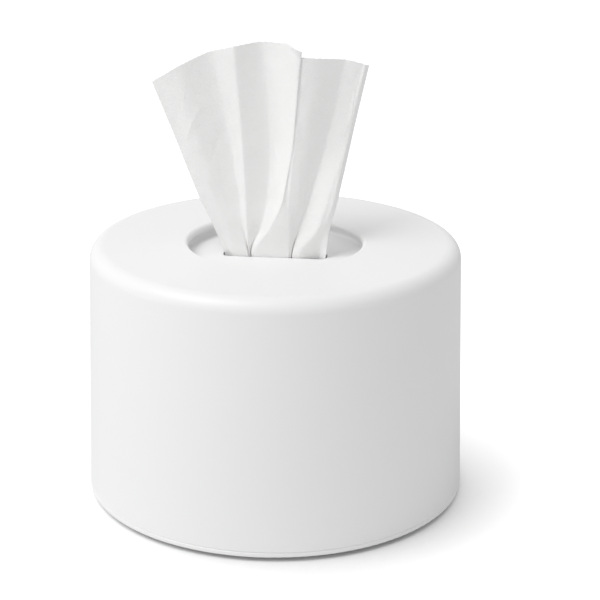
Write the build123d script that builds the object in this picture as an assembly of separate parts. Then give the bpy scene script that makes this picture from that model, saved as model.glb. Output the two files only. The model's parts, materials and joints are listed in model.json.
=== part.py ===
from build123d import *
import math
import os

# A centre-pull hand towel roll in its round table housing: a cover over a base, the wound paper
# between them, and one towel drawn up through a slot in a dish under the cover's opening.
# Millimetres, +Z up, origin on the table under the housing's axis, -Y towards the viewer.

# Paper
sheet_width = 131.0  # also the height of the roll
roll_diameter = 200.0
roll_bore = 68.0
paper_thickness = 0.5
turn_pitch = 9.0  # between the winding lines that show on the end of the roll
turn_line_width = 0.7
turn_line_depth = 0.5
tail_step = 0.8  # height of the loose outer end above the turn under it

# Heights of the stack from the table to the roof
foot_gap = 2.4
base_floor = 2.6
roll_headroom = 2.5
guide_floor = 1.6
recess_depth = 8.4

# Radial build-up from the roll to the outside of the cover
roll_side_gap = 4.7
spigot_wall = 2.0
spigot_fit = 0.5
cover_wall = 2.8

# Cover
cover_draft = 1.6  # degrees
cover_roof = 3.0
shoulder_radius = 8.0
opening_diameter = 100.0
lip_round = 2.2
seam_chamfer = 0.5

# Guide plate
lip_overhang = 3.0  # how far the cover's lip stands in over the dish
dish_wall = 2.0
dish_corner = 2.0
dish_flange_width = 8.0
dish_flange_thickness = 2.0
dish_fit = 0.2
locating_rib_wall = 2.0
locating_rib_height = 5.0
slot_turn = -7.0  # degrees about the housing's axis, so that the right end is nearer to the viewer
slot_end_gap = 1.2
slot_side_gap = 0.3
slot_corner = 4.0
slot_edge_round = 0.7

# Base
flange_height = 3.0
flange_round = 1.0
spigot_height = 10.0
spigot_lead_in = 0.8

# Feet
foot_count = 4
foot_diameter = 18.0
foot_pocket_depth = 1.2
foot_pocket_fit = 0.1
foot_edge = 0.4
foot_inset = 14.0  # from the roll's outside to the edge of a foot

# Leading sheet: a fan gathered in the slot and torn off along a perforation
gathered_width = 57.0
gathered_depth = 12.0
fan_left_angle = 20.9
fan_right_angle = 12.1
fan_depth = 22.0  # most room for the folds at the torn edge
fan_slack = 1.06  # least length of paper for each length across the fan
torn_edge_height = 123.2  # crest above the floor of the dish
torn_edge_radius = 110.5
torn_edge_offset = -2.0
sheet_tail = 86.0  # from the floor of the dish down to the next perforation
slot_fold_width = 1.3  # of the blunt tip of a fold
edge_fold_width = 2.4
section_shares = (0.0, 0.135, 0.275, 0.6, 1.0)  # of the crest's height
# Each fold from left to right: its place across the fan at each section, as a share of the fan's width
# there, then its depth towards the viewer in the slot and at the torn edge.
left_edge = ((0.0, 0.0, 0.0, 0.0, 0.0), 2.0, 0.0)
folds = (
    ((0.200, 0.150, 0.130, 0.125, 0.165), 5.5, 5.0),
    ((0.243, 0.258, 0.294, 0.303, 0.305), -5.0, -2.0),
    ((0.268, 0.294, 0.340, 0.384, 0.411), 6.5, 5.0),
    ((0.294, 0.408, 0.490, 0.533, 0.520), -6.0, -4.0),
    ((0.328, 0.490, 0.610, 0.676, 0.697), 6.0, 7.0),
    ((0.630, 0.655, 0.668, 0.712, 0.730), 5.5, 1.0),
    ((0.668, 0.740, 0.798, 0.866, 0.890), -6.5, -5.0),
    ((0.790, 0.895, 0.930, 0.945, 0.955), 5.0, -3.0),
    ((0.905, 0.955, 0.975, 0.980, 0.984), -1.0, -3.4),
)
right_edge = ((1.0, 1.0, 1.0, 1.0, 1.0), 4.0, -3.5)
most_gain = 3.0  # of the depths, where the paper is deepest in its folds
gain_step = 1e-6

# Levels and radii that follow from the sizes above
roll_height = sheet_width
floor_level = foot_gap + base_floor
seam_level = foot_gap + flange_height
roll_top = floor_level + roll_height
dish_underside = roll_top + roll_headroom
dish_level = dish_underside + guide_floor
housing_height = dish_level + recess_depth
roof_underside = housing_height - cover_roof
roll_radius = roll_diameter / 2
bore_radius = roll_bore / 2
spigot_inner = roll_radius + roll_side_gap
spigot_outer = spigot_inner + spigot_wall
cover_inner = spigot_outer + spigot_fit
housing_radius = cover_inner + cover_wall
draft_slope = math.tan(math.radians(cover_draft))
opening_radius = opening_diameter / 2
dish_inner = opening_radius + lip_overhang
dish_outer = dish_inner + dish_wall
dish_flange_radius = dish_outer + dish_flange_width
slot_length = gathered_width + 2 * slot_end_gap
slot_width = gathered_depth + 2 * slot_side_gap
left_slope = math.tan(math.radians(fan_left_angle))
right_slope = math.tan(math.radians(fan_right_angle))
foot_radius = foot_diameter / 2
foot_circle = roll_radius - foot_inset - foot_radius


def turned(*points, rounds=()):
    """A solid of revolution about Z from its half section, with the named corners rounded."""
    section = make_face(Polyline(*points, close=True))
    for radius, corner in rounds:
        vertex = min(section.vertices(), key=lambda v: (v.X - corner[0]) ** 2 + (v.Y - corner[1]) ** 2)
        section = fillet(vertex, radius)
    return revolve(Plane.XZ * section, Axis.Z)


def make_cover():
    top_outer = housing_radius - draft_slope * (housing_height - seam_level)
    top_inner = cover_inner - draft_slope * (roof_underside - seam_level)
    shoulder = (top_outer, housing_height)
    inner_corner = (top_inner, roof_underside)
    lip_top = (opening_radius, housing_height)
    shell = turned(
        (housing_radius - seam_chamfer, seam_level),
        (housing_radius, seam_level + seam_chamfer),
        shoulder,
        lip_top,
        (opening_radius, roof_underside),
        inner_corner,
        (cover_inner, seam_level),
        rounds=(
            (shoulder_radius, shoulder),
            (shoulder_radius - cover_wall, inner_corner),
            (lip_round, lip_top),
        ),
    )
    rib_inner = dish_flange_radius + dish_fit
    rib_outer = rib_inner + locating_rib_wall
    rib_foot = roof_underside - locating_rib_height
    rib = turned(
        (rib_inner, rib_foot),
        (rib_outer, rib_foot),
        (rib_outer, roof_underside),
        (rib_inner, roof_underside),
    )
    return shell + rib


def make_guide_plate():
    flange_foot = roof_underside - dish_flange_thickness
    inside_corner = (dish_inner, dish_level)
    dish = turned(
        (0, dish_underside),
        (dish_outer, dish_underside),
        (dish_outer, flange_foot),
        (dish_flange_radius, flange_foot),
        (dish_flange_radius, roof_underside),
        (dish_inner, roof_underside),
        inside_corner,
        (0, dish_level),
        rounds=((dish_corner, inside_corner),),
    )
    slot = extrude(RectangleRounded(slot_length, slot_width, slot_corner), housing_height)
    dish -= slot
    slot_edges = dish.edges().filter_by(
        lambda e: e.bounding_box().size.Z < slot_edge_round
        and max(abs(v.Y) for v in e.vertices()) <= slot_width / 2
        and max(abs(v.X) for v in e.vertices()) <= slot_length / 2
    )
    return Rot(0, 0, slot_turn) * fillet(slot_edges, slot_edge_round)


def foot_places():
    return PolarLocations(foot_circle, foot_count, start_angle=180 / foot_count)


def make_base():
    flange_under = (housing_radius, foot_gap)
    spigot_top = seam_level + spigot_height
    tray = turned(
        (0, foot_gap),
        flange_under,
        (housing_radius, seam_level - seam_chamfer),
        (housing_radius - seam_chamfer, seam_level),
        (spigot_outer, seam_level),
        (spigot_outer, spigot_top - spigot_lead_in),
        (spigot_outer - spigot_lead_in, spigot_top),
        (spigot_inner, spigot_top),
        (spigot_inner, floor_level),
        (0, floor_level),
        rounds=((flange_round, flange_under),),
    )
    pocket = Cylinder(
        foot_radius + foot_pocket_fit,
        foot_pocket_depth,
        align=(Align.CENTER, Align.CENTER, Align.MIN),
    )
    return tray - [place * Pos(0, 0, foot_gap) * pocket for place in foot_places()]


def make_feet():
    pad = Cylinder(
        foot_radius,
        foot_gap + foot_pocket_depth,
        align=(Align.CENTER, Align.CENTER, Align.MIN),
    )
    pad = chamfer(pad.edges().sort_by(Axis.Z)[0], foot_edge)
    return [place * pad for place in foot_places()]


def wound_outline(radius, step):
    """A closed outline of two half circles on centres half a step apart, so that one end stands proud."""
    half_step = step / 2
    near = CenterArc((0, 0), radius, 0, 180)
    far = CenterArc((half_step, 0), radius + half_step, 180, 180)
    return make_face([near, far, Line(far @ 1, near @ 0)])


def winding_line():
    """The spiral that the turns draw on the end of the roll, as a narrow band of half circles."""
    half_pitch = turn_pitch / 2
    turns = int((roll_radius - bore_radius) / turn_pitch) - 1
    first = bore_radius + half_pitch
    inner, outer = [], []
    for half in range(2 * turns):
        centre = (0, 0) if half % 2 == 0 else (half_pitch / 2, 0)
        radius = first + half * half_pitch / 2
        inner.append(CenterArc(centre, radius, 180 * (half % 2), 180))
        outer.append(CenterArc(centre, radius + turn_line_width, 180 * (half % 2), 180))
    ends = [Line(inner[0] @ 0, outer[0] @ 0), Line(inner[-1] @ 1, outer[-1] @ 1)]
    return make_face(inner + outer + ends)


def make_towel_roll():
    outside = wound_outline(roll_radius - tail_step, tail_step)
    bore = wound_outline(bore_radius, tail_step)
    roll = extrude(outside - bore, roll_height)
    lines = Pos(0, 0, roll_height - turn_line_depth) * extrude(winding_line(), turn_line_depth)
    return Pos(0, 0, floor_level) * (roll - lines)


def paper_run(line, gain):
    """Length of paper along a line of places and depths, with the depths multiplied by the gain."""
    return sum(math.hypot(b[0] - a[0], gain * (b[1] - a[1])) for a, b in zip(line, line[1:]))


def pleat_line(section):
    """Middle of the paper across one section: places across and depths towards the viewer.

    The depths grow until the line takes up the paper that the section has, or fills its room."""
    share = section_shares[section]
    height = share * torn_edge_height
    left = -gathered_width / 2 - height * left_slope
    width = gathered_width + height * (left_slope + right_slope)
    half_fold = (slot_fold_width + (edge_fold_width - slot_fold_width) * share) / 2
    line = []
    for fold in (left_edge, *folds, right_edge):
        places, slot_depth, edge_depth = fold
        x = left + places[section] * width
        depth = slot_depth + (edge_depth - slot_depth) * share
        tips = (-half_fold, half_fold) if fold in folds else (0.0,)
        line += [(x + tip, depth) for tip in tips]
    paper = max(sheet_width, fan_slack * width)
    low, high = 0.0, most_gain
    while high - low > gain_step:
        gain = (low + high) / 2
        if paper_run(line, gain) < paper:
            low = gain
        else:
            high = gain
    depths = [depth for _, depth in line]
    room = gathered_depth + (fan_depth - gathered_depth) * share - paper_thickness
    gain = min(gain, room / (max(depths) - min(depths)))
    middle = (max(depths) + min(depths)) / 2
    return [(x, gain * (depth - middle)) for x, depth in line]


def pleat_section(section):
    """Closed outline of the paper across one section, as thick as the paper along all its folds.

    The fan is turned with the slot at its foot, and square to the viewer at its torn edge."""
    share = section_shares[section]
    line = pleat_line(section)
    turns = [math.atan2(b[1] - a[1], b[0] - a[0]) for a, b in zip(line, line[1:])]
    front, back = [], []
    for (x, depth), before, after in zip(line, turns[:1] + turns, turns + turns[-1:]):
        half = paper_thickness / 2 / math.cos((after - before) / 2)
        across = half * math.sin((after + before) / 2)
        out = half * math.cos((after + before) / 2)
        front.append((x - across, -depth - out))
        back.append((x + across, -depth + out))
    outline = Polyline(*front, *reversed(back), close=True)
    lie = Pos(0, 0, dish_level + share * torn_edge_height) * Rot(0, 0, slot_turn * (1 - share))
    return lie * make_face(outline)


def make_leading_sheet():
    sections = [pleat_section(section) for section in range(len(section_shares))]
    tail = extrude(sections[0], amount=-sheet_tail, dir=(0, 0, 1))
    fan = loft(sections, ruled=True)
    crest = Pos(torn_edge_offset, 0, dish_level + torn_edge_height - torn_edge_radius)
    above = Cylinder(2 * torn_edge_radius, slot_length) - Cylinder(torn_edge_radius, slot_length)
    torn_off = crest * Rot(90, 0, 0) * above
    return tail + (fan - torn_off)


nodes = {
    "cover": make_cover(),
    "guide_plate": make_guide_plate(),
    "base": make_base(),
    "towel_roll": make_towel_roll(),
    "leading_sheet": make_leading_sheet(),
}
for number, foot in enumerate(make_feet(), start=1):
    nodes[f"foot_{number}"] = foot

os.makedirs("parts", exist_ok=True)
for name, solid in nodes.items():
    export_step(solid, f"parts/{name}.step")
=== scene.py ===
"""A centre-pull hand towel roll in its round housing: finishes, wound roll, pleated towel and stage."""

import json
import math
from typing import NamedTuple

import bpy
import numpy as np
from bpy.props import FloatProperty, FloatVectorProperty, IntProperty, PointerProperty
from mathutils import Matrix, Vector, noise


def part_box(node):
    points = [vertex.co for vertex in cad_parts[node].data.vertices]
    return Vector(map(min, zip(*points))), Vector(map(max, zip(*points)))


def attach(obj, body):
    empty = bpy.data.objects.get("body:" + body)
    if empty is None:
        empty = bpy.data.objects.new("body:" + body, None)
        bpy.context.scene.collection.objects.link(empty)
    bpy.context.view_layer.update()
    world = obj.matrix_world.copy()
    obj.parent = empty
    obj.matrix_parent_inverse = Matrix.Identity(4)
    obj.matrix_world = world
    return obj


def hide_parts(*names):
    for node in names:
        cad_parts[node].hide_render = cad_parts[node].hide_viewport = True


bl_info = {
    "name": "Centre-pull towel roll",
    "version": (1, 0, 0),
    "blender": (4, 5, 0),
    "location": "View3D > Sidebar > Towel Roll",
    "description": "Finishes a round towel housing and makes its wound roll and pleated towel",
    "category": "Add Mesh",
}

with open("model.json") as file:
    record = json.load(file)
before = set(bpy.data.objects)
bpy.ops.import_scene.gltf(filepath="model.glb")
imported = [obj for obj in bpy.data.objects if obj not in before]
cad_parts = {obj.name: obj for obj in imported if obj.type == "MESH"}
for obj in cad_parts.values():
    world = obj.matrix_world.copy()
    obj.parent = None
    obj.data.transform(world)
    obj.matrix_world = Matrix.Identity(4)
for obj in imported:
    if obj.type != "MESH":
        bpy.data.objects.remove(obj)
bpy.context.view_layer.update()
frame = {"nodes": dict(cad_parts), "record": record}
IMAGE_PIXELS = 600  # across the picture
MILLIMETRE = 0.001
WHITE = (1.0, 1.0, 1.0, 1.0)

sheet_low, sheet_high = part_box("leading_sheet")
roll_low, roll_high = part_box("towel_roll")
dish_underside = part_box("guide_plate")[0].z


def slot_colour(slot):
    """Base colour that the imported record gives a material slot."""
    materials = frame["record"]["materials"]
    return next(each["base_color"] for each in materials if each["slot"] == slot)


class HousingSettings(bpy.types.PropertyGroup):
    """Satin moulded plastic of the cover, dish and base, and the rubber of the feet."""

    colour: FloatVectorProperty(
        name="Housing colour", description="Moulded white", subtype="COLOR",
        size=3, min=0, max=1, default=slot_colour("housing_white"))
    smoothest: FloatProperty(
        name="Roughness", description="Roughness of the glossiest spots of the satin skin",
        subtype="FACTOR", min=0, max=1, default=0.36)
    grain: FloatProperty(
        name="Grain", description="Size of the fine spark-eroded grain", subtype="DISTANCE",
        unit="LENGTH", min=0.0001, default=0.0006)
    grain_depth: FloatProperty(
        name="Grain depth", description="Depth of that grain", subtype="DISTANCE",
        unit="LENGTH", default=0.000012)
    rubber: FloatVectorProperty(
        name="Foot colour", description="Dark rubber of the feet", subtype="COLOR",
        size=3, min=0, max=1, default=slot_colour("foot_rubber"))


class RollSettings(bpy.types.PropertyGroup):
    """The paper wound on itself inside the housing."""

    turns: IntProperty(name="Turns", description="Turns of paper that show on the end", min=5, default=62)
    bore: FloatProperty(
        name="Bore", description="Radius of the open middle", subtype="DISTANCE",
        unit="LENGTH", default=0.0344)
    fill: FloatProperty(
        name="Fill", description="Share of each turn's pitch that is paper", subtype="FACTOR",
        min=0.1, max=1, default=0.86)
    steps: IntProperty(name="Steps", description="Corners in each turn", min=12, default=96)
    unevenness: FloatProperty(
        name="Unevenness", description="Most that the edge of a turn lies below the top of the roll",
        subtype="DISTANCE", unit="LENGTH", default=0.0005)
    edge_waves: FloatProperty(
        name="Edge waves", description="Waves of the uneven edges in a metre", min=0, default=260.0)
    seed: FloatProperty(name="Seed", description="Draw of the uneven edges", default=3.0)


class TowelSettings(bpy.types.PropertyGroup):
    """The leading towel: gathered in the slot, fanned out above it and torn off along a perforation."""

    colour: FloatVectorProperty(
        name="Paper colour", description="Bleached creped paper", subtype="COLOR",
        size=3, min=0, max=1, default=slot_colour("towel_paper"))
    width: FloatProperty(
        name="Width", description="Width of the flat sheet, as high as the roll", subtype="DISTANCE",
        unit="LENGTH", default=roll_high.z - roll_low.z)
    thickness: FloatProperty(
        name="Thickness", description="Thickness of the creped sheet", subtype="DISTANCE",
        unit="LENGTH", default=0.0004)
    dish_floor: FloatProperty(
        name="Dish floor", description="Thickness of the dish's floor around the slot", subtype="DISTANCE",
        unit="LENGTH", default=0.0016)
    gathered: FloatProperty(
        name="Gathered width", description="Width of the sheet in the slot", subtype="DISTANCE",
        unit="LENGTH", default=0.0586)
    slot_turn: FloatProperty(
        name="Slot turn", description="How far the slot's right end is turned towards the viewer",
        subtype="ANGLE", unit="ROTATION", default=math.radians(7.0))
    left_angle: FloatProperty(
        name="Left edge", description="Lean of the fan's left edge", subtype="ANGLE",
        unit="ROTATION", default=math.radians(21.4))
    right_angle: FloatProperty(
        name="Right edge", description="Lean of the fan's right edge", subtype="ANGLE",
        unit="ROTATION", default=math.radians(12.2))
    edge_radius: FloatProperty(
        name="Torn edge radius", description="Radius of the arc that the torn edge makes",
        subtype="DISTANCE", unit="LENGTH", default=0.1105)
    edge_offset: FloatProperty(
        name="Torn edge offset", description="Place of the arc's crest across the fan",
        subtype="DISTANCE", unit="LENGTH", default=-0.002)
    crumple: FloatProperty(
        name="Crumple", description="Height of the soft crumples", subtype="DISTANCE",
        unit="LENGTH", default=0.0007)
    perforation: FloatProperty(
        name="Perforation pitch", description="Distance between the torn nibs", subtype="DISTANCE",
        unit="LENGTH", default=0.0025)
    nib: FloatProperty(
        name="Nib height", description="Height of the torn nibs", subtype="DISTANCE",
        unit="LENGTH", default=0.0003)
    columns: IntProperty(name="Columns", description="Cells across the sheet", min=40, default=240)
    rows: IntProperty(name="Rows", description="Cells along the fan", min=20, default=150)
    tail_rows: IntProperty(name="Tail rows", description="Cells along the hidden tail", min=2, default=26)


class StageSettings(bpy.types.PropertyGroup):
    """Floor with a painted shadow beside the object, light and camera."""

    pitch: FloatProperty(
        name="Camera pitch", description="How far the camera looks down", subtype="ANGLE",
        unit="ROTATION", default=math.radians(19.231))
    distance: FloatProperty(
        name="Camera distance", description="From the camera to the point that it looks at",
        subtype="DISTANCE", unit="LENGTH", default=1.0273)
    aim_height: FloatProperty(
        name="Aim height", description="Height of that point above the floor", subtype="DISTANCE",
        unit="LENGTH", default=0.1121)
    lens: FloatProperty(name="Lens", description="Focal length", subtype="DISTANCE_CAMERA", default=106.4)
    axis_pixel: FloatProperty(
        name="Axis column", description="Image column of the housing's axis", subtype="PIXEL",
        default=275.3)
    ambient: FloatProperty(name="Ambient", description="Light from all round", min=0, default=0.558)
    key: FloatProperty(
        name="Key light", description="Power of the large soft lamp", min=0, unit="POWER", default=24.2)
    key_size: FloatProperty(
        name="Key size", description="Side of that lamp", subtype="DISTANCE", unit="LENGTH", default=1.3)
    key_place: FloatVectorProperty(
        name="Key place", description="Where that lamp stands", subtype="TRANSLATION", unit="LENGTH",
        size=3, default=(-1.131, -0.601, 1.874))
    floor_reach: FloatProperty(
        name="Floor reach", description="From the middle of the floor to its edges", subtype="DISTANCE",
        unit="LENGTH", default=4.0)
    floor_thickness: FloatProperty(
        name="Floor thickness", description="From the top of the floor to its underside",
        subtype="DISTANCE", unit="LENGTH", default=0.002)
    floor_grey: FloatProperty(
        name="Floor grey", description="Grey of the floor in the light that it throws on the object",
        subtype="FACTOR", min=0, max=1, default=0.9)
    # The floor's painted shadow: the camera sees this darker grey instead of the grey that lights the
    # object, and the glow below brings it back to white except near the object
    shown_grey: FloatProperty(
        name="Shown grey", description="Grey of the floor that the camera sees, before its lift",
        subtype="FACTOR", min=0, max=1, default=0.68)
    # This glow is cut near the object by an occlusion share, which paints a soft shadow on the floor
    floor_lift: FloatProperty(
        name="Floor lift", description="Glow that only the camera sees, where the object doesn't hide it",
        min=0, default=0.89)
    # How far the painted shadow reaches from the object
    painted_shadow_reach: FloatProperty(
        name="Contact", description="How far from the object the floor starts to lose that lift",
        subtype="DISTANCE", unit="LENGTH", default=0.074)
    # The painted shadow falls on the side of the object away from this direction
    painted_shadow_lift_side: FloatVectorProperty(
        name="Lift side", description="Where that lift comes from; the object hides it on the other side",
        subtype="DIRECTION", size=3, default=(-0.31, 0.63, 0.71))


class Wire:
    """A node's output that takes part in arithmetic: each operation adds a Math node."""

    def __init__(self, board, socket):
        self.board = board
        self.socket = socket

    def _math(self, operation, first, second):
        return self.board.add("ShaderNodeMath", {"operation": operation}, {0: first, 1: second})

    def __add__(self, other):
        return self._math("ADD", self, other)

    def __sub__(self, other):
        return self._math("SUBTRACT", self, other)

    def __rsub__(self, other):
        return self._math("SUBTRACT", other, self)

    def __mul__(self, other):
        return self._math("MULTIPLY", self, other)

    __radd__ = __add__
    __rmul__ = __mul__

    def between(self, first, last):
        """A value from first, where this one is 0, to last, where it is 1."""
        return first + self * (last - first)


# Sockets of a Mix node that mixes colours
MIX_FACTOR, MIX_FIRST, MIX_SECOND, MIX_RESULT = 0, 6, 7, 2


class Board:
    """A node tree that is being wired."""

    def __init__(self, tree):
        self.tree = tree
        tree.nodes.clear()

    def add(self, kind, settings=None, inputs=None, output=0):
        """Adds a node: its settings first, then values or wires for its inputs; gives one output."""
        node = self.tree.nodes.new(kind)
        for name, value in (settings or {}).items():
            setattr(node, name, value)
        for key, value in (inputs or {}).items():
            if isinstance(value, Wire):
                self.tree.links.new(value.socket, node.inputs[key])
            else:
                node.inputs[key].default_value = value
        return Wire(self, node.outputs[output]) if len(node.outputs) else None

    def noise(self, coords, features, detail=2.0, roughness=0.5):
        """Soft noise from 0 to 1, with about that many features in a unit of its coordinates."""
        inputs = {"Vector": coords, "Scale": features, "Detail": detail, "Roughness": roughness}
        return self.add("ShaderNodeTexNoise", {"noise_dimensions": "3D"}, inputs)

    def tint(self, mask, colour, darkest, lightest):
        """A colour times a factor, from darkest, where the mask is 0, to lightest, where it is 1."""
        inputs = {
            MIX_FACTOR: mask,
            MIX_FIRST: shade(colour, darkest),
            MIX_SECOND: shade(colour, lightest),
        }
        return self.add("ShaderNodeMix", {"data_type": "RGBA"}, inputs, output=MIX_RESULT)

    def bump(self, height, depth, normal=None):
        """A normal bent by a height from 0 to 1, as deep as the depth."""
        inputs = {"Height": height, "Distance": depth, "Strength": 1.0}
        if normal:
            inputs["Normal"] = normal
        return self.add("ShaderNodeBump", {}, inputs)

    def surface(self, inputs):
        """The finished principled surface."""
        shader = self.add("ShaderNodeBsdfPrincipled", {}, inputs)
        self.add("ShaderNodeOutputMaterial", {}, {"Surface": shader})


def new_material(name):
    """An empty material and the board to wire it on."""
    material = bpy.data.materials.new(name)
    material.use_nodes = True
    return material, Board(material.node_tree)


def shade(colour, factor):
    """A colour made darker or lighter, with its alpha."""
    return (*(min(1.0, channel * factor) for channel in colour), 1.0)


def housing_finish(settings):
    """Satin white plastic: a fine eroded grain, slightly uneven gloss and the faintest mottle."""
    material, board = new_material("moulded_satin_white")
    coords = board.add("ShaderNodeTexCoord", output="Object")
    grain = board.noise(coords, features=1 / settings.grain, detail=3.0, roughness=0.6)
    cloud = board.noise(coords, features=16.0)
    flow = board.noise(coords, features=70.0, detail=1.0)
    eroded = board.bump(grain, depth=settings.grain_depth)
    cloud_dulling, grain_dulling = 0.09, 0.05
    board.surface({
        "Base Color": board.tint(cloud, settings.colour, darkest=0.992, lightest=1.006),
        "Roughness": settings.smoothest + cloud_dulling * cloud + grain_dulling * grain,
        "Normal": board.bump(flow, depth=0.04 * MILLIMETRE, normal=eroded),
        "IOR": 1.49,
    })
    return material


def rubber_finish(settings):
    """Dark moulded rubber with a dull, dusty skin."""
    material, board = new_material("moulded_dark_rubber")
    coords = board.add("ShaderNodeTexCoord", output="Object")
    grain = board.noise(coords, features=1400.0, detail=3.0, roughness=0.65)
    dust = board.noise(coords, features=160.0, detail=3.0)
    board.surface({
        "Base Color": board.tint(dust, settings.rubber, darkest=0.8, lightest=1.35),
        "Roughness": dust.between(0.72, 0.88),
        "Normal": board.bump(grain, depth=0.05 * MILLIMETRE),
        "Specular IOR Level": 0.35,
    })
    return material


# Ridges of the crepe in a metre, along each axis of the pattern
ROLL_CREPE = (260.0, 260.0, 1500.0)
SHEET_CREPE = (420.0, 1500.0, 1.0)


def paper_finish(name, colour, coords_output, crepe_ridges):
    """Creped bleached paper: fine crepe ridges, felted fibre and soft cloudy formation."""
    material, board = new_material(name)
    coords = board.add("ShaderNodeTexCoord", output=coords_output)
    ridges = board.add("ShaderNodeMapping", {}, {"Vector": coords, "Scale": crepe_ridges})
    crepe = board.noise(ridges, features=1.0, detail=3.0, roughness=0.55)
    fibre = board.noise(coords, features=2600.0, roughness=0.7)
    cloud = board.noise(coords, features=120.0, detail=3.0, roughness=0.6)
    felted = board.bump(fibre, depth=0.06 * MILLIMETRE)
    board.surface({
        "Base Color": board.tint(cloud, colour, darkest=1.03, lightest=1.08),
        "Roughness": cloud.between(0.88, 0.98),
        "Normal": board.bump(crepe, depth=0.22 * MILLIMETRE, normal=felted),
        "Specular IOR Level": 0.25,
        "Subsurface Weight": 0.35,
        "Subsurface Radius": (1.0, 1.0, 1.0),
        "Subsurface Scale": 1.2 * MILLIMETRE,
        "Sheen Weight": 0.06,
        "Sheen Roughness": 0.6,
    })
    return material


def dress(names, finish):
    """Gives pieces of the frame their finish."""
    for name in names:
        slots = frame["nodes"][name].data.materials
        slots.clear()
        slots.append(finish)


def new_object(name, mesh):
    """An object at the origin that holds the mesh."""
    made = bpy.data.objects.new(name, mesh)
    bpy.context.scene.collection.objects.link(made)
    return made


def made_plain(carrier, name):
    """The evaluated mesh of an object with modifiers as a plain object, with the carrier removed."""
    graph = bpy.context.evaluated_depsgraph_get()
    mesh = bpy.data.meshes.new_from_object(carrier.evaluated_get(graph), depsgraph=graph)
    mesh.name = name
    carrier.modifiers.clear()
    bpy.data.objects.remove(carrier)
    return new_object(name, mesh)


def winding_tree(material, sizes):
    """Geometry nodes that wind a strip of paper into a flat spiral and leave its top edges uneven.

    The tree has an input for each of the sizes."""
    tree = bpy.data.node_groups.new("wound_paper", "GeometryNodeTree")
    for name, value in sizes.items():
        kind = "NodeSocketInt" if isinstance(value, int) else "NodeSocketFloat"
        tree.interface.new_socket(name, in_out="INPUT", socket_type=kind)
    tree.interface.new_socket("Geometry", in_out="OUTPUT", socket_type="NodeSocketGeometry")
    board = Board(tree)

    def size(name):
        return board.add("NodeGroupInput", output=name)

    spiral = board.add("GeometryNodeCurveSpiral", {}, {
        "Resolution": size("Steps"), "Rotations": size("Turns"), "Start Radius": size("Inner Radius"),
        "End Radius": size("Outer Radius"), "Height": 0.0})
    upright = board.add("GeometryNodeSetCurveNormal", {"mode": "Z_UP"}, {0: spiral})
    strip = board.add("GeometryNodeCurvePrimitiveQuadrilateral", {"mode": "RECTANGLE"}, {
        "Width": size("Thickness"), "Height": size("Height")})
    wound = board.add("GeometryNodeCurveToMesh", {}, {
        "Curve": upright, "Profile Curve": strip, "Fill Caps": True})
    place = board.add("GeometryNodeInputPosition")
    height = board.add("ShaderNodeSeparateXYZ", {}, {0: place}, output="Z")
    top = board.add("ShaderNodeMath", {"operation": "GREATER_THAN"}, {0: height, 1: 0.0})
    draw = board.add("ShaderNodeTexNoise", {"noise_dimensions": "4D"}, {
        "Vector": place, "W": size("Seed"), "Scale": size("Edge Waves"), "Detail": 1.0})
    lift = size("Bottom") + size("Height") * 0.5 - top * draw * size("Unevenness")
    offset = board.add("ShaderNodeCombineXYZ", {}, {"Z": lift})
    raised = board.add("GeometryNodeSetPosition", {}, {"Geometry": wound, "Offset": offset})
    whole = board.add("GeometryNodeRealizeInstances", {}, {0: raised})
    finished = board.add("GeometryNodeSetMaterial", {}, {0: whole, "Material": material})
    board.add("NodeGroupOutput", {}, {0: finished})
    return tree


def smooth_between(levels, values, at):
    """Values at some heights, joined by a smooth curve that goes no further than they do."""
    levels, values = np.asarray(levels), np.asarray(values)
    rises = np.diff(values) / np.diff(levels)
    before, after = rises[:-1], rises[1:]
    level = before * after <= 0
    bends = np.where(level, 0, 2 * before * after / np.where(level, 1, before + after))
    slopes = np.concatenate([rises[:1], bends, rises[-1:]])
    at = np.clip(at, levels[0], levels[-1])
    cell = np.clip(np.searchsorted(levels, at) - 1, 0, len(levels) - 2)
    span = levels[cell + 1] - levels[cell]
    part = (at - levels[cell]) / span
    low, high = values[cell], values[cell + 1]
    start, end = slopes[cell] * span, slopes[cell + 1] * span
    bend = 3 * (high - low) - 2 * start - end
    return low + part * (start + part * (bend + part * (start + end - 2 * (high - low))))


class Fold(NamedTuple):
    """A fold line of the towel, at each of the fold heights from its tail to its torn edge."""

    places: tuple  # across the fan, as shares of its width
    depths: tuple  # towards the viewer, in millimetres
    slot_softness: float  # from 0, creased, to 1, rounded
    edge_softness: float
    edge_drop: float = 0.0  # of the torn edge below its arc, in millimetres


SHARP_FOLD, SOFT_FOLD = 0.55 * MILLIMETRE, 3.4 * MILLIMETRE  # spread of a creased and of a rounded fold
FINE_STEPS = 900  # along a row, where its folds are rounded
BELL_REACH = 3  # how many spreads the rounding of a fold takes in on each side
FOLD_HEIGHTS = (-0.12, 0.0, 0.135, 0.275, 0.6, 1.0)  # tail, slot and up, as shares of the crest's height
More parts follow.
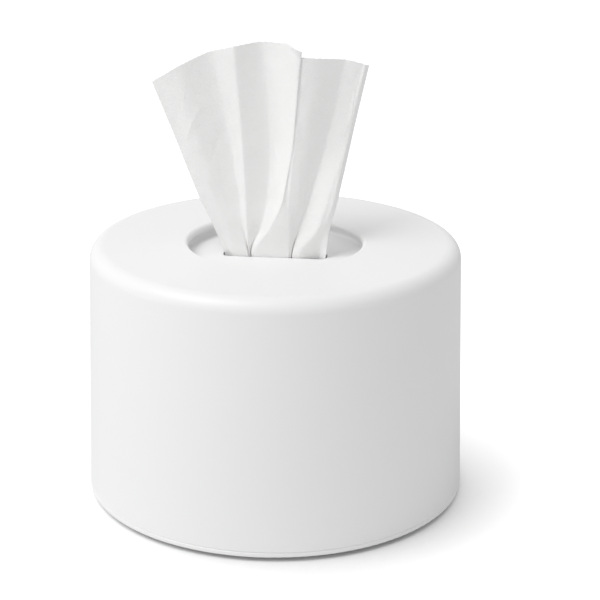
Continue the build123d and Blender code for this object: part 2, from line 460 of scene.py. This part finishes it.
# How far the fan's edges stand out from straight at those heights, in millimetres
LEFT_BOW = (-0.3, -0.3, -0.3, 1.1, 0.3, -0.3)
RIGHT_BOW = (0.0, 0.0, -1.5, -1.0, -1.0, -0.3)
FOLDS = {
    "left edge": Fold(
        (0.0, 0.0, 0.0, 0.0, 0.0, 0.0), (-2.0, 0.6, 1.0, 1.0, 0.0, 0.0), 0.2, 0.2),
    "left crest": Fold(
        (0.085, 0.085, 0.120, 0.130, 0.125, 0.165), (5.4, 5.4, 4.2, 2.6, 3.0, 3.8), 0.6, 1.0),
    "first brow": Fold(
        (0.243, 0.243, 0.238, 0.250, 0.262, 0.272), (5.5, 5.5, 3.0, 1.0, -0.5, -0.2), 0.0, 0.9),
    "first valley": Fold(
        (0.250, 0.250, 0.258, 0.294, 0.303, 0.305), (-4.5, 1.8, 2.8, 0.4, -1.6, -1.4), 0.0, 0.9),
    "first ridge": Fold(
        (0.258, 0.258, 0.294, 0.340, 0.384, 0.411), (5.9, 5.9, 4.8, 3.3, 2.6, 3.6), 0.0, 0.25),
    "second valley": Fold(
        (0.266, 0.266, 0.408, 0.490, 0.533, 0.520), (-4.8, 1.8, 1.8, -0.4, -3.2, -3.4), 0.0, 0.9),
    "brow": Fold(
        (0.274, 0.274, 0.455, 0.565, 0.622, 0.632), (5.4, 5.4, 4.0, 2.6, 1.8, 3.2), 0.2, 0.2, 0.2),
    "second ridge": Fold(
        (0.328, 0.312, 0.490, 0.610, 0.676, 0.697), (5.9, 5.8, 5.6, 5.6, 5.0, 6.8), 0.0, 0.0, 3.2),
    "tuck": Fold(
        (0.490, 0.490, 0.600, 0.630, 0.681, 0.682), (5.7, 5.7, 5.8, 5.2, 4.7, 5.5), 0.6, 0.0, 3.6),
    "hidden fold": Fold(
        (0.636, 0.640, 0.661, 0.655, 0.687, 0.667), (5.9, 5.8, 5.4, 5.0, 4.4, 4.5), 0.1, 0.0, 7.0),
    "third slope": Fold(
        (0.648, 0.648, 0.700, 0.720, 0.705, 0.707), (5.5, 5.5, 3.4, 3.8, 4.0, 6.1), 0.2, 0.3, 6.4),
    "third bend": Fold(
        (0.661, 0.661, 0.720, 0.760, 0.755, 0.760), (5.3, 5.3, 2.4, 1.9, 3.4, 5.0), 0.2, 1.0, 5.6),
    "third valley": Fold(
        (0.668, 0.668, 0.740, 0.798, 0.866, 0.890), (-4.6, 1.0, 1.0, -0.6, -3.8, -2.2), 0.0, 0.3, 2.6),
    "third brow": Fold(
        (0.676, 0.676, 0.756, 0.815, 0.880, 0.905), (5.2, 5.2, 1.5, 0.0, -3.6, -2.2), 0.0, 0.5, 2.2),
    "right crest": Fold(
        (0.780, 0.730, 0.895, 0.930, 0.945, 0.955), (6.0, 5.9, 5.6, 4.0, -2.7, -2.2), 0.3, 1.0, 1.0),
    "notch": Fold(
        (0.930, 0.930, 0.955, 0.973, 0.981, 0.983), (1.5, 3.0, 4.4, 3.6, -2.7, -2.3), 0.0, 0.0, 0.2),
    "right edge": Fold(
        (1.0, 1.0, 1.0, 1.0, 1.0, 1.0), (4.6, 4.6, 3.4, 1.6, -5.8, -5.2), 0.2, 0.0),
}


class Crease(NamedTuple):
    """A short crease from handling."""

    start: tuple  # shares of the sheet's width and of the crest's height
    end: tuple
    height: float  # towards the viewer, in millimetres


CREASES = (
    Crease((0.17, 0.78), (0.04, 0.62), 0.55),
    Crease((0.13, 0.93), (0.07, 0.74), 0.4),
    Crease((0.22, 0.62), (0.13, 0.47), -0.45),
    Crease((0.62, 0.90), (0.66, 0.72), 0.35),
    Crease((0.90, 0.86), (0.95, 0.66), 0.4),
    Crease((0.42, 0.55), (0.48, 0.38), -0.35),
)
CREASE_SPREAD = 2.25 * MILLIMETRE  # to either side, over which a crease fades
CRUMPLES = ((0.022, 1.0), (0.009, 0.42), (0.004, 0.16))  # size in metres, and share of the full height
CRUMPLE_STRETCH = 0.6  # under 1, crumples are longer up the sheet than across it
CRUMPLE_DRAW = 900  # keeps the draws of the sizes apart
CRUMPLE_GROWTH = 3  # they reach their full height a third of the way up
TEAR_WAVES = 40  # of the uneven tear across the sheet
TEAR_DRAW = (0.5, 2.5)  # picks those waves
NIB_SHARE, TEAR_SHARE = 0.8, 0.6  # of the nib height, in the even nibs and in the uneven tear
CURL = ("brow", "second ridge")  # the torn edge curls towards the viewer between these folds
CURL_START = 0.978  # share of the way up
CURL_DEPTH = 3.4 * MILLIMETRE
CURL_LEAN = 1.6  # over 1, the curl is deepest nearer to the second of those folds
SETTLING_ROUNDS = 30  # of finding the height at which each fold meets the torn edge


class PleatedTowel:
    """Places of the towel's paper: rows from the foot of its tail to its torn edge, columns across it."""

    def __init__(self, settings):
        self.settings = settings
        self.floor = dish_underside + settings.dish_floor
        self.crest = sheet_high.z - self.floor
        self.left_slope = math.tan(settings.left_angle)
        self.right_slope = math.tan(settings.right_angle)
        self.arc_centre = self.crest - settings.edge_radius
        folds = FOLDS.values()
        self.slot_softness = np.array([fold.slot_softness for fold in folds])
        self.edge_softness = np.array([fold.edge_softness for fold in folds])
        edge_drop = MILLIMETRE * np.array([fold.edge_drop for fold in folds])
        self.tops = np.full(len(folds), self.crest)
        for _ in range(SETTLING_ROUNDS):
            self.tops = self.torn_height(self.fold_places(self.tops)) - edge_drop
        runs = [self.folded(up)[1] for up in (0.0, 1.0)]
        self.fold_shares = np.mean([run / run[-1] for run in runs], axis=0)

    def torn_height(self, across):
        """Height of the torn edge's arc above the slot at a place across the fan."""
        run = np.clip((across - self.settings.edge_offset) / self.settings.edge_radius, -1, 1)
        return self.arc_centre + self.settings.edge_radius * np.sqrt(1 - run * run)

    def fold_places(self, heights):
        """Place across for each fold, each at its own height."""
        share = heights / self.crest
        half = self.settings.gathered / 2
        rise = np.maximum(heights, 0)
        left = half + rise * self.left_slope + MILLIMETRE * smooth_between(FOLD_HEIGHTS, LEFT_BOW, share)
        right = half + rise * self.right_slope + MILLIMETRE * smooth_between(FOLD_HEIGHTS, RIGHT_BOW, share)
        places = [smooth_between(FOLD_HEIGHTS, fold.places, at) for fold, at in zip(FOLDS.values(), share)]
        return np.array(places) * (left + right) - left

    def folded(self, up):
        """Corners of one row and the paper's run to each of them.

        The row is a share of the way up to the torn edge. Rows below the slot have negative shares and
        are level."""
        heights = up * np.where(up > 0, self.tops, self.crest)
        levels = heights / self.crest
        depths = [smooth_between(FOLD_HEIGHTS, fold.depths, at) for fold, at in zip(FOLDS.values(), levels)]
        corners = np.stack([self.fold_places(heights), MILLIMETRE * np.array(depths), heights], 1)
        lengths = np.linalg.norm(np.diff(corners, axis=0), axis=1)
        return corners, np.concatenate([[0], np.cumsum(lengths)])

    def row(self, up, shares):
        """Points of one row with its folds rounded, for each share across the flat sheet."""
        corners, run = self.folded(up)
        fine = np.linspace(0, run[-1], FINE_STEPS)
        softness = self.slot_softness + (self.edge_softness - self.slot_softness) * max(up, 0)
        soft = np.interp(fine, run, softness)
        points = np.stack([np.interp(fine, run, axis) for axis in corners.T], 1)
        sharp = self.rounded(points, SHARP_FOLD / fine[1])
        loose = self.rounded(points, SOFT_FOLD / fine[1])
        bent = sharp + soft[:, None] * (loose - sharp)
        at = np.interp(shares, self.fold_shares, run)
        return np.stack([np.interp(at, fine, axis) for axis in bent.T], 1)

    @staticmethod
    def rounded(points, spread):
        """The row with its corners rounded over that many steps, and its ends left in place."""
        reach = int(math.ceil(BELL_REACH * spread))
        weights = np.exp(-0.5 * (np.arange(-reach, reach + 1) / spread) ** 2)
        weights /= weights.sum()
        before = 2 * points[0] - points[reach:0:-1]
        after = 2 * points[-1] - points[-2:-reach - 2:-1]
        padded = np.concatenate([before, points, after])
        return np.stack([np.convolve(padded[:, axis], weights, "valid") for axis in range(3)], 1)

    def grid(self):
        """All points of the sheet from the foot of its tail to its torn edge, and their flat places."""
        settings = self.settings
        shares = np.linspace(0, 1, settings.columns + 1)
        tail = np.linspace((sheet_low.z - self.floor) / self.crest, 0, settings.tail_rows, endpoint=False)
        ups = np.concatenate([tail, np.linspace(0, 1, settings.rows + 1)])
        points = np.array([self.row(up, shares) for up in ups])
        self.crumple(points, shares, ups)
        self.curl(points, shares, ups)
        turn = settings.slot_turn * np.clip(1 - ups, 0, 1)[:, None]
        across, depth, height = np.moveaxis(points, 2, 0)
        points = np.stack([
            across * np.cos(turn) - depth * np.sin(turn),
            -across * np.sin(turn) - depth * np.cos(turn),
            height + self.floor], 2)
        half_pitches = shares * settings.width / settings.perforation * 2
        nibs = np.round(half_pitches) % 2
        tear = np.array([noise.noise(Vector((share * TEAR_WAVES, *TEAR_DRAW))) for share in shares])
        points[-1, :, 2] -= settings.nib * (NIB_SHARE * nibs + TEAR_SHARE * (1 + tear))
        flat = np.stack(np.meshgrid(shares * settings.width, (ups - ups[0]) * self.crest), -1)
        return points, flat

    def crumple(self, points, shares, ups):
        """Moves the paper by its crumples and creases, which grow from nothing in the slot."""
        across, up = np.meshgrid(shares * self.settings.width, ups * self.crest)
        height = self.crumple_height(across, up)
        for crease in CREASES:
            height += self.crease_height(crease, across, up)
        points[:, :, 1] += height * np.clip(up / self.crest * CRUMPLE_GROWTH, 0, 1)

    def crumple_height(self, across, up):
        """Height of the soft crumples at each place on the sheet."""
        height = np.zeros(across.shape)
        for size, share in CRUMPLES:
            draw = size * CRUMPLE_DRAW
            for index in np.ndindex(across.shape):
                spot = Vector((across[index] / size, up[index] / size * CRUMPLE_STRETCH, draw))
                height[index] += share * self.settings.crumple * noise.noise(spot)
        return height

    def crease_height(self, crease, across, up):
        """Height of one crease at each place on the sheet."""
        whole = np.array((self.settings.width, self.crest))
        start = whole * crease.start
        along = whole * crease.end - start
        length = np.hypot(*along)
        along /= length
        run = (across - start[0]) * along[0] + (up - start[1]) * along[1]
        side = (across - start[0]) * along[1] - (up - start[1]) * along[0]
        fade = np.sin(np.pi * np.clip(run / length, 0, 1))
        return crease.height * MILLIMETRE * fade * np.exp(-np.abs(side) / CREASE_SPREAD)

    def curl(self, points, shares, ups):
        """Curls the torn edge towards the viewer between two folds."""
        first, last = (self.fold_shares[list(FOLDS).index(name)] for name in CURL)
        swell = np.sin(np.pi * np.clip((shares - first) / (last - first), 0, 1) ** CURL_LEAN)
        rise = np.clip((ups - CURL_START) / (1 - CURL_START), 0, 1)
        points[:, :, 1] += CURL_DEPTH * np.outer(rise, swell)


def grid_mesh(name, points, flat):
    """A mesh of quads over a grid of points, with its flat places as the map of the paper."""
    rows, columns = points.shape[:2]
    index = np.arange(rows * columns).reshape(rows, columns)
    quads = np.stack([index[:-1, :-1], index[:-1, 1:], index[1:, 1:], index[1:, :-1]], -1).reshape(-1, 4)
    mesh = bpy.data.meshes.new(name)
    mesh.from_pydata(points.reshape(-1, 3).tolist(), [], quads.tolist())
    paper_map = mesh.uv_layers.new(name="paper")
    paper_map.data.foreach_set("uv", flat.reshape(-1, 2)[quads.reshape(-1)].astype(np.float32).reshape(-1))
    mesh.shade_smooth()
    return mesh


class TOWELROLL_OT_stage(bpy.types.Operator):
    """Set the white floor with its painted shadow, the soft light and the camera"""

    bl_idname = "towelroll.stage"
    bl_label = "Set Stage"

    def execute(self, context):
        settings = context.scene.towelroll_stage
        self.lay_floor(settings)
        self.light(context, settings)
        self.place_camera(context, settings)
        context.scene.view_settings.view_transform = "Standard"
        return {"FINISHED"}

    def lay_floor(self, settings):
        reach = settings.floor_reach
        mesh = bpy.data.meshes.new("floor")
        square = [(-reach, -reach), (reach, -reach), (reach, reach), (-reach, reach)]
        corners = [(x, y, z) for z in (0, -settings.floor_thickness) for x, y in square]
        mesh.from_pydata(corners, [], [(0, 1, 2, 3), (7, 6, 5, 4)])
        material, board = new_material("floor_white_painted_shadow")
        seen = board.add("ShaderNodeLightPath", output="Is Camera Ray")
        # The camera-only glow times the occlusion share paints a soft shadow on the floor next to the
        # object, on the side away from the lift side. The occlusion node takes a direction only through a
        # link, and its rays down end at the underside
        side = board.add("ShaderNodeVectorMath", {"operation": "NORMALIZE"}, {0: settings.painted_shadow_lift_side})
        # clear: the occlusion share, 1 away from the object and less near it, which makes the painted
        # shadow
        clear = board.add("ShaderNodeAmbientOcclusion", {"samples": 16}, {
            "Distance": settings.painted_shadow_reach, "Normal": side}, output="AO")
        # The camera sees the darker shown grey plus the glow cut by that share: white floor with a painted
        # shadow
        board.surface({
            "Base Color": seen.between(settings.floor_grey, settings.shown_grey),
            "Roughness": 0.9,
            "Specular IOR Level": 0.0,
            "Emission Color": seen * clear,
            "Emission Strength": settings.floor_lift,
        })
        mesh.materials.append(material)
        new_object("floor", mesh)

    def light(self, context, settings):
        world = bpy.data.worlds.new("studio")
        world.use_nodes = True
        context.scene.world = world
        board = Board(world.node_tree)
        rays = ("Is Camera Ray", "Is Glossy Ray", "Is Transmission Ray")
        camera, glossy, through = (board.add("ShaderNodeLightPath", output=name) for name in rays)
        seen = 1 - (1 - camera) * (1 - glossy) * (1 - through)
        dim = board.add("ShaderNodeBackground", {}, {"Color": WHITE, "Strength": settings.ambient})
        white = board.add("ShaderNodeBackground", {}, {"Color": WHITE, "Strength": 1.0})
        either = board.add("ShaderNodeMixShader", {}, {0: seen, 1: dim, 2: white})
        board.add("ShaderNodeOutputWorld", {}, {"Surface": either})
        lamp = bpy.data.lights.new("key", "AREA")
        lamp.energy = settings.key
        lamp.size = settings.key_size
        key = bpy.data.objects.new("key", lamp)
        context.scene.collection.objects.link(key)
        key.location = settings.key_place
        aim = Vector((0, 0, settings.aim_height)) - key.location
        key.rotation_euler = aim.to_track_quat("-Z", "Y").to_euler()

    def place_camera(self, context, settings):
        lens = bpy.data.cameras.new("camera")
        lens.lens = settings.lens
        lens.shift_x = 0.5 - settings.axis_pixel / IMAGE_PIXELS
        camera = bpy.data.objects.new("camera", lens)
        context.scene.collection.objects.link(camera)
        back = settings.distance * math.cos(settings.pitch)
        rise = settings.distance * math.sin(settings.pitch)
        camera.location = (0, -back, settings.aim_height + rise)
        camera.rotation_euler = (math.pi / 2 - settings.pitch, 0, 0)
        context.scene.camera = camera


class TOWELROLL_OT_housing(bpy.types.Operator):
    """Give the cover, the dish and the base their satin white plastic"""

    bl_idname = "towelroll.housing"
    bl_label = "Finish Housing"

    def execute(self, context):
        dress(("cover", "guide_plate", "base"), housing_finish(context.scene.towelroll_housing))
        return {"FINISHED"}


class TOWELROLL_OT_feet(bpy.types.Operator):
    """Give the feet their dark rubber"""

    bl_idname = "towelroll.feet"
    bl_label = "Finish Feet"

    def execute(self, context):
        feet = sorted(name for name in frame["nodes"] if name.startswith("foot_"))
        if not feet:
            raise RuntimeError("The frame has no feet")
        dress(feet, rubber_finish(context.scene.towelroll_housing))
        return {"FINISHED"}


class TOWELROLL_OT_roll(bpy.types.Operator):
    """Wind the paper roll inside the housing"""

    bl_idname = "towelroll.roll"
    bl_label = "Wind Roll"

    def execute(self, context):
        settings = context.scene.towelroll_roll
        paper = paper_finish("wound_paper", context.scene.towelroll_towel.colour, "Object", ROLL_CREPE)
        outer = min(roll_high.x, roll_high.y, -roll_low.x, -roll_low.y)
        pitch = (outer - settings.bore) / (settings.turns + settings.fill)
        thickness = pitch * settings.fill
        sizes = {
            "Turns": float(settings.turns),
            "Steps": settings.steps,
            "Inner Radius": settings.bore + thickness / 2,
            "Outer Radius": outer - thickness / 2,
            "Thickness": thickness,
            "Height": roll_high.z - roll_low.z,
            "Bottom": roll_low.z,
            "Unevenness": settings.unevenness,
            "Edge Waves": settings.edge_waves,
            "Seed": settings.seed,
        }
        carrier = new_object("roll_carrier", bpy.data.meshes.new("roll_carrier"))
        tree = winding_tree(paper, sizes)
        modifier = carrier.modifiers.new("winding", "NODES")
        modifier.node_group = tree
        for item in tree.interface.items_tree:
            if item.in_out == "INPUT":
                modifier[item.identifier] = sizes[item.name]
        roll = made_plain(carrier, "wound_roll")
        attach(roll, "base_and_roll")
        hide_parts("towel_roll")
        return {"FINISHED"}


class TOWELROLL_OT_towel(bpy.types.Operator):
    """Fold the leading towel and draw it up through the slot"""

    bl_idname = "towelroll.towel"
    bl_label = "Fold Towel"

    def execute(self, context):
        settings = context.scene.towelroll_towel
        mesh = grid_mesh("pleated_towel", *PleatedTowel(settings).grid())
        mesh.materials.append(paper_finish("creped_towel", settings.colour, "UV", SHEET_CREPE))
        carrier = new_object("towel_carrier", mesh)
        wall = carrier.modifiers.new("thickness", "SOLIDIFY")
        wall.thickness = settings.thickness
        wall.offset = 0.0
        towel = made_plain(carrier, "pleated_towel")
        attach(towel, "towel")
        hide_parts("leading_sheet")
        return {"FINISHED"}


class TOWELROLL_PT_panel(bpy.types.Panel):
    """Lists the pieces of the towel roll in the sidebar"""

    bl_idname = "TOWELROLL_PT_panel"
    bl_label = "Towel Roll"
    bl_space_type = "VIEW_3D"
    bl_region_type = "UI"
    bl_category = "Towel Roll"

    def draw(self, context):
        for operator in OPERATORS:
            self.layout.operator(operator.bl_idname)
        for name in SETTINGS:
            group = getattr(context.scene, name)
            box = self.layout.box()
            box.label(text=group.bl_rna.name)
            for item in group.bl_rna.properties:
                if not item.is_readonly and item.identifier != "name":
                    box.prop(group, item.identifier)


OPERATORS = (
    TOWELROLL_OT_stage,
    TOWELROLL_OT_housing,
    TOWELROLL_OT_feet,
    TOWELROLL_OT_roll,
    TOWELROLL_OT_towel,
)
SETTINGS = {
    "towelroll_housing": HousingSettings,
    "towelroll_roll": RollSettings,
    "towelroll_towel": TowelSettings,
    "towelroll_stage": StageSettings,
}
CLASSES = (*SETTINGS.values(), *OPERATORS, TOWELROLL_PT_panel)


def register():
    for item in CLASSES:
        bpy.utils.register_class(item)
    for name, group in SETTINGS.items():
        setattr(bpy.types.Scene, name, PointerProperty(type=group))


def unregister():
    for name in SETTINGS:
        delattr(bpy.types.Scene, name)
    for item in reversed(CLASSES):
        bpy.utils.unregister_class(item)


def main():
    register()
    bpy.ops.towelroll.stage()
    bpy.ops.towelroll.housing()
    bpy.ops.towelroll.feet()
    bpy.ops.towelroll.roll()
    bpy.ops.towelroll.towel()


if __name__ == "__main__":
    main()
